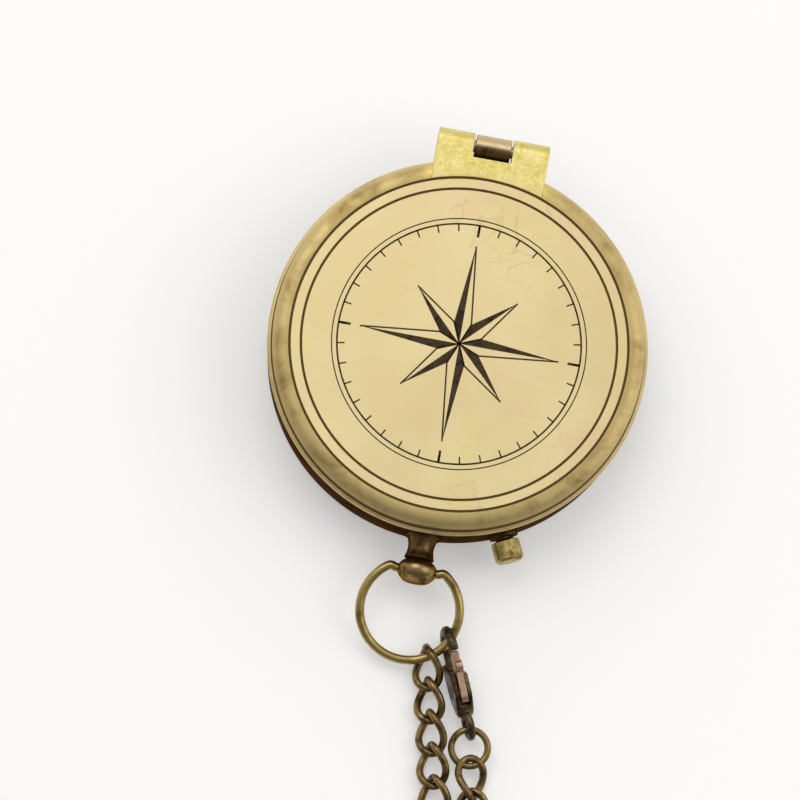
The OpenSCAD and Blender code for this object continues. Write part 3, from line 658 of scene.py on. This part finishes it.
def tick_tree():
    """Geometry nodes: straight ticks set at equal angles round the middle axis."""
    lengths = ("Middle Radius", "Length", "Width", "Thickness", "Height")
    tree, given, out = new_geometry("round_ticks", [
        ("Count", "NodeSocketInt", 36), *((label, "NodeSocketFloat", MM) for label in lengths)])
    circle = add(tree, "GeometryNodeMeshCircle", inputs={
        "Vertices": given["Count"], "Radius": given["Middle Radius"]})
    lift = add(tree, "ShaderNodeCombineXYZ", inputs={2: given["Height"]})
    circle = add(tree, "GeometryNodeSetPosition", inputs={"Geometry": circle, "Offset": lift})
    size = add(tree, "ShaderNodeCombineXYZ", inputs={
        0: given["Length"], 1: given["Width"], 2: given["Thickness"]})
    tick = add(tree, "GeometryNodeMeshCube", inputs={"Size": size})
    step = calc(tree, "DIVIDE", math.tau, given["Count"])
    angle = calc(tree, "MULTIPLY", add(tree, "GeometryNodeInputIndex"), step)
    turn = add(tree, "FunctionNodeEulerToRotation", inputs={
        0: add(tree, "ShaderNodeCombineXYZ", inputs={2: angle})})
    tree.links.new(put_on_points(tree, circle, tick, turn, given["Finish"]), out[0])
    return tree


def tick_mesh(count, inner, outer, width, low, high, finish):
    """Ticks between two radii (in millimetres), as a plain mesh."""
    seed = new_object("ticks", bpy.data.meshes.new("ticks"))
    spread = seed.modifiers.new("ticks", "NODES")
    spread.node_group = TICKS
    values = {"Count": count, "Middle Radius": (inner + outer) / 2 * MM, "Length": (outer - inner) * MM,
              "Width": width * MM, "Thickness": high - low, "Height": (low + high) / 2, "Finish": finish}
    for plug in TICKS.interface.items_tree:
        if plug.name in values:
            spread[plug.identifier] = values[plug.name]
    return bake_nodes(seed)


def joined(name, meshes):
    """One mesh out of several."""
    bm = bmesh.new()
    for mesh in meshes:
        bm.from_mesh(mesh)
    return as_mesh(bm, name)


# Chain of curb links, each a closed wire twisted along its length
def link_tree():
    """Geometry nodes: one twisted wire link on every point, turned by the point's own angles."""
    tree, given, out = new_geometry("curb_links", [
        ("Half Length", "NodeSocketFloat", LINK_HALF_LEN), ("Half Width", "NodeSocketFloat", LINK_HALF_W),
        ("Wire Radius", "NodeSocketFloat", LINK_WIRE_R), ("Twist", "NodeSocketFloat", LINK_TWIST)])
    loop = add(tree, "GeometryNodeCurvePrimitiveCircle", inputs={"Resolution": LINK_STEPS, "Radius": 1.0})
    way = calc(tree, "MULTIPLY", add(tree, "GeometryNodeSplineParameter"), math.tau)
    cosine, sine = calc(tree, "COSINE", way), calc(tree, "SINE", way)
    twist = calc(tree, "MULTIPLY", given["Twist"], cosine)
    across = calc(tree, "MULTIPLY", given["Half Width"], sine)
    spot = add(tree, "ShaderNodeCombineXYZ", inputs={
        0: calc(tree, "MULTIPLY", given["Half Length"], cosine),
        1: calc(tree, "MULTIPLY", across, calc(tree, "COSINE", twist)),
        2: calc(tree, "MULTIPLY", across, calc(tree, "SINE", twist))})
    loop = add(tree, "GeometryNodeSetPosition", inputs={"Geometry": loop, "Position": spot})
    section = add(tree, "GeometryNodeCurvePrimitiveCircle", inputs={
        "Resolution": 14, "Radius": given["Wire Radius"]})
    link = add(tree, "GeometryNodeCurveToMesh", inputs={"Curve": loop, "Profile Curve": section})
    link = add(tree, "GeometryNodeSetShadeSmooth", inputs={0: link})
    turn = tree.nodes.new("GeometryNodeInputNamedAttribute")
    turn.data_type = "FLOAT_VECTOR"
    turn.inputs["Name"].default_value = "turn"
    turned = add(tree, "FunctionNodeEulerToRotation", inputs={0: turn.outputs[0]})
    done = put_on_points(tree, given["Geometry"], link, turned, given["Finish"])
    tree.links.new(done, out[0])
    return tree


def link_axis(node):
    """Middle and long axis of a link's solid."""
    corners = np.array([v.co for v in nodes[node].data.vertices])
    corners = np.unique(np.round(corners, 8), axis=0)
    middle = corners.mean(0)
    return Vector(middle), Vector(np.linalg.eigh(np.cov((corners - middle).T))[1][:, 2])


def link_roll(k):
    """Roll of the k-th link about its own length, between the values of the table."""
    for (start, low), (end, high) in zip(LINK_ROLLS, LINK_ROLLS[1:]):
        if k <= end:
            return math.radians(low + (high - low) * (k - start) / (end - start))
    return math.radians(LINK_ROLLS[-1][1])


def link_drop(turn):
    """How far a turned link's wire reaches below its middle."""
    low = 0
    for step in range(LINK_STEPS):
        way = math.tau * step / LINK_STEPS
        twist = LINK_TWIST * math.cos(way)
        across = LINK_HALF_W * math.sin(way)
        point = Vector((LINK_HALF_LEN * math.cos(way), across * math.cos(twist), across * math.sin(twist)))
        low = min(low, (turn @ point).z)
    return LINK_WIRE_R - low


def link_poses(names):
    """Middle and turn of every link, rolled over near the ring and lifted clear of the floor."""
    places = [link_axis(name) for name in names]
    poses = {}
    for k, (middle, ahead) in enumerate(places):
        near, far = places[max(k - 1, 0)][0], places[min(k + 1, len(places) - 1)][0]
        if ahead.dot(far - near) < 0:
            ahead = -ahead
        roll = link_roll(k)
        side = Vector((0, 0, 1)).cross(ahead).normalized()
        across = math.cos(roll) * side + math.sin(roll) * ahead.cross(side)
        turn = Matrix((ahead, across, ahead.cross(across))).transposed()
        lift = max(0, link_drop(turn) + LINK_FLOOR_GAP - middle.z)
        poses[names[k]] = (middle + Vector((0, 0, lift)), turn.to_euler())
    return poses


def make_chain():
    """The links of each chain body, as one piece."""
    tree = link_tree()
    finish = next(s.identifier for s in tree.interface.items_tree if s.name == "Finish")
    all_poses = link_poses(sorted(n for n in nodes if n.startswith("chain_link")))
    for body, members in bodies_of.items():
        links = sorted(n for n in members if n.startswith("chain_link"))
        if not links:
            continue
        poses = [all_poses[n] for n in links]
        points = bpy.data.meshes.new(body + "_points")
        points.from_pydata([p for p, _ in poses], [], [])
        turn = points.attributes.new("turn", "FLOAT_VECTOR", "POINT")
        for k, (_, angles) in enumerate(poses):
            turn.data[k].vector = tuple(angles)
        seed = new_object(body + "_points", points)
        spread = seed.modifiers.new("links", "NODES")
        spread.node_group = tree
        spread[finish] = CHAIN
        bm = bmesh.new()
        bm.from_mesh(bake_nodes(seed))
        mesh = closed_mesh(bm, body + "_links")
        place_piece(body + "_links", mesh, body, CHAIN, links)


make_chain()


# Bail ring, jump ring and the small solids
def arc_points(middle, radius, start, end, steps):
    """Points round a middle, at angles from +Y towards +X, without the first."""
    angles = [start + (end - start) * k / steps for k in range(1, steps + 1)]
    return [middle + radius * Vector((math.sin(a), math.cos(a), 0)) for a in angles]


def make_bail():
    """Round wire ring; a tight bend and a counter-bend turn each end into the ball's cross hole."""
    ring_mid = Vector((0, -BAIL_REACH, 0))
    hole_bend = Vector((BALL_HALF_W + BAIL_CLEAR, BAIL_BEND_R, 0))
    apart = (hole_bend - ring_mid).length
    inner = BAIL_R - BAIL_BEND_R
    cosine = (inner ** 2 + apart ** 2 - 4 * BAIL_BEND_R ** 2) / (2 * apart * inner)
    ring_end = math.atan2(hole_bend.x, hole_bend.y - ring_mid.y) + math.acos(cosine)
    ring_bend = ring_mid + inner * Vector((math.sin(ring_end), math.cos(ring_end), 0))
    turn = math.atan2(hole_bend.x - ring_bend.x, hole_bend.y - ring_bend.y)
    half = arc_points(ring_mid, BAIL_R, math.pi, ring_end, 64)
    half += arc_points(ring_bend, BAIL_BEND_R, ring_end, turn, 14)
    half += arc_points(hole_bend, BAIL_BEND_R, math.pi + turn, math.pi, 8)
    half.append(Vector((BAIL_PIN_START, 0, 0)))
    far = ring_mid - Vector((0, BAIL_R, 0))
    flat = [Vector((-p.x, p.y, 0)) for p in reversed(half)] + [far] + half
    droop = Matrix.Rotation(BAIL_DROOP, 3, "X")
    path = [Vector((0, BALL_Y, STEM_Z)) + droop @ p for p in flat]
    place_piece("bail_wire", tube_mesh("bail_wire", path, BAIL_WIRE_R, 24), "bail", RING,
                ["bail_ring"])


make_bail()

finish_solid("jump_ring", CHAIN)
finish_solid("case_knuckle", KNUCKLE, edge=0.1)
finish_solid("lid_leaf", LEAF, edge=0.1)
finish_solid("lid_catch", TRIM, edge=0.08)
finish_solid("button_bush", STEM, edge=0.1)
finish_solid("release_button", BUTTON, edge=0.12)


def cast_solid(node, material, voxel, passes, swell):
    """The solid as it would come from a worn mould, with every edge well rounded. Its mesh is worked
    on in millimetres."""
    mesh = merged_copy(node)
    mesh.transform(Matrix.Scale(1 / MM, 4))
    seed = new_object(node + "_seed", mesh)
    skin = seed.modifiers.new("skin", "REMESH")
    skin.mode = "VOXEL"
    skin.voxel_size = voxel
    worn = seed.modifiers.new("worn", "SMOOTH")
    worn.factor = 0.5
    worn.iterations = passes
    fuller = seed.modifiers.new("fuller", "DISPLACE")
    fuller.strength = swell
    fuller.mid_level = 0
    mesh = bake_nodes(seed)
    mesh.transform(Matrix.Scale(MM, 4))
    return place_piece(node + "_cast", mesh, body_with(node), material, [node])


cast_solid("clasp_body", CLASP, voxel=0.09, passes=10, swell=0.06)
finish_solid("clasp_lever", LEVER, edge=0.12)
finish_solid("crystal_ring", TRIM, edge=0.08)
finish_solid("dial_ring", TRIM)
finish_solid("needle_cap", TRIM, edge=0.08)
finish_solid("hinge_pin", STEEL, edge=0.08)
finish_solid("crystal", GLASS, edge=0.15)
finish_solid("dial_plate", DIAL)
finish_solid("needle_blade", BLUED, edge=0.05)
for inner in ("pivot_pin", "clasp_spring", "clasp_rivet"):
    finish_solid(inner, STEEL)


def make_button_spring():
    """The button's spring, finished and given a mesh of its own."""
    spring = finish_solid("button_spring", STEEL)
    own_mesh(spring)


make_button_spring()

TICKS = tick_tree()


# Turned pieces: lid, case wall and stem
def cut_mesh(mesh, cutter):
    """One closed mesh less another."""
    whole, tool = new_object(mesh.name, mesh), new_object(cutter.name, cutter)
    cut = whole.modifiers.new("cut", "BOOLEAN")
    cut.operation = "DIFFERENCE"
    cut.solver = "EXACT"
    cut.object = tool
    result = bake_nodes(whole)
    bpy.data.objects.remove(tool)
    return result


def bow(middle, radius, start, end, steps):
    """Profile points on an arc, from one angle to another in degrees."""
    angles = [math.radians(start + (end - start) * k / steps) for k in range(steps + 1)]
    return [(middle[0] + radius * math.cos(a), middle[1] + radius * math.sin(a)) for a in angles]


def engraved_line(line_r, top):
    """Profile of a line engraved in the lid, from its outer edge to its inner one."""
    half = LINE_W / MM / 2
    floor = top - LINE_DEPTH
    return [(line_r + half + LINE_EDGE, top), (line_r + half, top - LINE_EDGE),
            (line_r + half - LINE_SLOPE, floor), (line_r - half + LINE_SLOPE, floor),
            (line_r - half, top - LINE_EDGE), (line_r - half - LINE_EDGE, top)]


def make_lid():
    """Flat disc with two engraved circles, a low rounded shoulder, a narrow groove and a bead."""
    top = TOP_Z / MM
    corner_r = LID_INSIDE_R - LID_INSIDE_CORNER
    shoulder_end = math.degrees(math.acos((LID_WALL_R - SHOULDER_R) / SHOULDER_ARC))
    profile = [(0, LID_CEILING_Z), (corner_r, LID_CEILING_Z)]
    profile += bow((corner_r, LID_CEILING_Z - LID_INSIDE_CORNER), LID_INSIDE_CORNER, 90, 0, 4)[1:]
    profile += [(LID_INSIDE_R, LID_LOW_Z + 0.08), (LID_INSIDE_R + 0.08, LID_LOW_Z)]
    profile += bow((LID_WALL_R + BEAD_R / 2, LID_LOW_Z + BEAD_R), BEAD_R, -90, 115, 16)
    profile += [(LID_WALL_R - 0.1, BEAD_TOP_Z + 0.02), (LID_WALL_R, BEAD_TOP_Z + 0.16)]
    profile += bow((SHOULDER_R, top - SHOULDER_ARC), SHOULDER_ARC, shoulder_end, 90, 14)
    profile += engraved_line(LINE_OUTER_R / MM, top) + engraved_line(LINE_INNER_R / MM, top)
    profile += [(r, top) for r in (16.5, 8.0, 0)]
    half = LEAF_HALF_W / MM
    swing = math.degrees(math.asin(half / LEAF_SEAM_R))
    sector = [(half, 30.0)] + bow((0, 0), LEAF_SEAM_R, 90 - swing, 90 + swing, 16) + [(-half, 30.0)]
    cutter = prism_mesh("leaf_sector", [[(x * MM, y * MM) for x, y in reversed(sector)]], 5 * MM, 20 * MM)
    mesh = cut_mesh(lathe_mesh("lid_turned", profile), cutter)
    piece = place_piece("lid_turned", mesh, "lid", LID, ["lid"])
    piece.data.set_sharp_from_angle(angle=SHARP_TURNED_EDGE)


def make_case():
    """The case's solid with its outer wall brought out to just inside the lid's bead."""
    piece = finish_solid("case", CASE, edge=0.12)
    for corner in piece.data.vertices:
        away = math.hypot(corner.co.x, corner.co.y)
        if away > CASE_INSIDE_R:
            share = min((away - CASE_INSIDE_R) / (CASE_R - CASE_INSIDE_R), 1)
            eased = share * share * (3 - 2 * share)
            grown = (away + CASE_GROWTH * eased) / away
            corner.co.x *= grown
            corner.co.y *= grown


def make_stem():
    """Flange, hollowed waist and cushion-shaped ball, with the cross hole for the bail ring."""
    wall = (CASE_R + CASE_GROWTH) / MM
    ball = -BALL_Y / MM
    ball_end = BALL_HALF_W / MM
    foot, low, high = wall - STEM_SINK, wall + FLANGE_H, ball - 1.6
    profile = [(0, foot), (FLANGE_R - 0.1, foot), (FLANGE_R, foot + 0.1)]
    profile += [(FLANGE_R, low - 0.12), (FLANGE_R - 0.12, low), (WAIST_END_R + 0.02, low)]
    for k in range(13):
        hollow = WAIST_HOLLOW * math.sin(math.pi * k / 12)
        profile.append((WAIST_END_R - hollow, low + (high - low) * k / 12))
    profile += bow((ball_end - BALL_ROUND_R, ball), BALL_ROUND_R, -72, 62, 20)[:-1]
    profile += [(ball_end - 0.8, ball + 1.4), (ball_end - 1.2, ball + 1.6)]
    profile += [(0.7, ball + 1.72), (0, ball + 1.74)]
    mesh = lathe_mesh("stem_turned", profile, 96)
    mesh.transform(Matrix.Translation((0, 0, STEM_Z)) @ Matrix.Rotation(math.pi / 2, 4, "X"))
    ends = [(-4 * MM, BALL_Y, STEM_Z), (4 * MM, BALL_Y, STEM_Z)]
    mesh = cut_mesh(mesh, tube_mesh("cross_hole", ends, BALL_HOLE_R, 32))
    piece = place_piece("stem_turned", mesh, "case", STEM, ["stem"])
    piece.data.set_sharp_from_angle(angle=SHARP_TURNED_EDGE)


make_lid()
make_case()
make_stem()


def make_lid_rose():
    """A plain engraved wind rose in the middle of the lid."""
    low, high = TOP_Z - 0.1 * MM, TOP_Z + 0.008 * MM
    ring_r = 16.0
    rose = rose_outlines(reach=13.2, short_reach=9.4, waist=3.0, line=0.22)
    parts = [prism_mesh("rose", rose, low, high)]
    parts.append(tick_mesh(36, ring_r - 1.0, ring_r, 0.2, low, high, ENGRAVING))
    parts.append(tick_mesh(4, ring_r - 1.6, ring_r, 0.34, low, high, ENGRAVING))
    parts += line_rings(((ring_r, 0.24), (ring_r + 0.7, 0.16)), low, high)
    place_piece("lid_engraving", joined("lid_engraving", parts), "lid", ENGRAVING, smooth=False)


make_lid_rose()


# Printed dial
def letters_mesh(word, size, radius, angle, low, high):
    """Printed letters whose feet point at the middle, at a radius in millimetres and a compass angle."""
    text = bpy.data.curves.new("letters", "FONT")
    text.body = word
    text.size = size * MM
    text.align_x = "CENTER"
    text.align_y = "CENTER"
    text.extrude = (high - low) / 2
    text.resolution_u = 3
    mesh = bake_nodes(new_object("letters", text))
    turn = -math.radians(angle)
    mesh.transform(Matrix.Translation((0, 0, (low + high) / 2)) @ Matrix.Rotation(turn, 4, "Z")
                   @ Matrix.Translation((0, radius * MM, 0)))
    return mesh


def make_dial_print():
    """Degree scale, figures, the four letters and a wind rose on the dial."""
    low, high = DIAL_TOP_Z - 0.03 * MM, DIAL_TOP_Z + 0.02 * MM
    edge = DIAL_VIEW_R - 0.5
    scale_r, figure_r, letter_r = edge - 1.9, edge - 3.15, edge - 7.2
    figure_size, letter_size = 1.7, 3.4
    parts = line_rings(((edge, 0.16), (scale_r, 0.1), (edge - 4.5, 0.12), (edge - 4.8, 0.08)), low, high)
    parts.append(tick_mesh(180, edge - 0.8, edge, 0.08, low, high, PRINT))
    parts.append(tick_mesh(36, scale_r, edge, 0.14, low, high, PRINT))
    for angle in range(0, 360, 20):
        parts.append(letters_mesh(str(angle), figure_size, figure_r, angle, low, high))
    rose = rose_outlines(reach=9.2, short_reach=6.0, waist=1.7, line=0.14)
    parts.append(prism_mesh("rose", rose, low, high))
    for angle, word in ((90, "E"), (180, "S"), (270, "W")):
        parts.append(letters_mesh(word, letter_size, letter_r, angle, low, high))
    body = body_with("dial_plate")
    place_piece("dial_print", joined("dial_print", parts), body, PRINT, smooth=False)
    north = letters_mesh("N", letter_size, letter_r, 0, low, high)
    place_piece("dial_north", north, body, RED_PRINT, smooth=False)


make_dial_print()


def floor_material():
    """Plain pale floor that the camera and the metal see brighter than it lights the rest."""
    material, tree, shader, place = start_material("pale_floor")
    grain = noise(tree, place, 900.0, 2.0)
    colour = blend_colour(tree, grain, (0.80, 0.795, 0.785, 1), (0.83, 0.825, 0.815, 1))
    tree.links.new(colour, shader.inputs["Base Color"])
    shader.inputs["Roughness"].default_value = 0.8
    rays = tree.nodes.new("ShaderNodeLightPath").outputs
    seen = rays["Is Camera Ray"]
    for kind in ("Is Glossy Ray", "Is Transmission Ray"):
        seen = calc(tree, "MAXIMUM", seen, rays[kind])
    shader.inputs["Emission Color"].default_value = (1, 1, 1, 1)
    tree.links.new(calc(tree, "MULTIPLY", seen, FLOOR_GLOW), shader.inputs["Emission Strength"])
    return material


def make_stage():
    """A large floor with soft light from above and behind, and a paler world."""
    bm = bmesh.new()
    bmesh.ops.create_grid(bm, x_segments=2, y_segments=2, size=FLOOR_REACH)
    floor = new_object("floor", as_mesh(bm, "floor"))
    floor.data.materials.append(floor_material())

    def lamp(name, place, power, size, colour=(1, 1, 1)):
        """A round soft lamp that looks at the compass, of a power in watts and a width in metres."""
        light = bpy.data.lights.new(name, "AREA")
        light.energy = power
        light.shape = "DISK"
        light.size = size
        light.color = colour
        made = new_object(name, light)
        made.location = place
        made.rotation_mode = "QUATERNION"
        made.rotation_quaternion = (LAMP_AIM - Vector(place)).to_track_quat("-Z", "Y")

    lamp("key", (-0.25, 0.4, 0.8), power=1.8, size=0.7, colour=(1, 0.99, 0.98))
    lamp("fill", (0.6, 0.05, 0.6), power=1.0, size=0.6)
    world = bpy.data.worlds.new("studio")
    bpy.context.scene.world = world
    world.use_nodes = True
    tree = world.node_tree
    back = tree.nodes["Background"]
    direction = tree.nodes.new("ShaderNodeTexCoord").outputs["Generated"]
    rise = ramp(tree, axes_of(tree, direction)[1], -0.7, 0.3, 0.22, 0.8)
    tree.links.new(rise, back.inputs["Strength"])
    back.inputs["Color"].default_value = (1, 0.99, 0.97, 1)


make_stage()
bpy.context.scene.view_settings.view_transform = "Standard"
